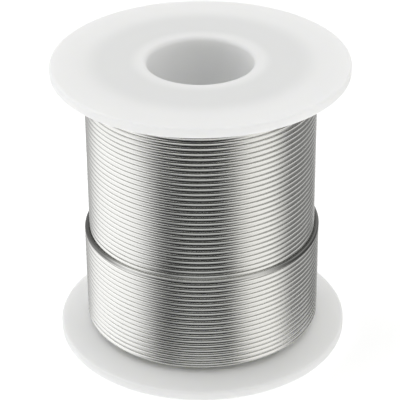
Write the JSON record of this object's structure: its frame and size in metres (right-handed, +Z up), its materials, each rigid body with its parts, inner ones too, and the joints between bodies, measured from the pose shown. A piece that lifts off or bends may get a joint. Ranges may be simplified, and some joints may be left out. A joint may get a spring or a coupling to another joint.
{
  "type": "solder wire spool",
  "caption": "Round moulded spool with two wide flanges and a through bore, closely wound in nested layers with bright solder wire.",
  "frame": {"origin": "centre of the lower flange's outer face, on the surface that the spool stands on", "axes": "+Z up along the spool's axis, from the lower flange to the upper one; -Y through the start hole in the barrel, and the wire's free end lies on the +Y side"},
  "size_m": [0.066, 0.066, 0.0674],
  "materials": {
    "natural_plastic": "satin, milky translucent",
    "solder_wire": "bright drawn",
    "flux": "glassy resin"
  },
  "bodies": {
    "root": {"lower_spool_half": "natural_plastic", "upper_spool_half": "natural_plastic", "winding_pass_1": "solder_wire", "winding_pass_2": "solder_wire", "winding_pass_3": "solder_wire", "winding_pass_4": "solder_wire", "winding_pass_5": "solder_wire", "winding_full_layer": "solder_wire", "winding_last_layer": "solder_wire", "wire_free_end": "solder_wire", "wire_start_tail": "solder_wire", "flux_core": "flux"}
  },
  "joints": []
}
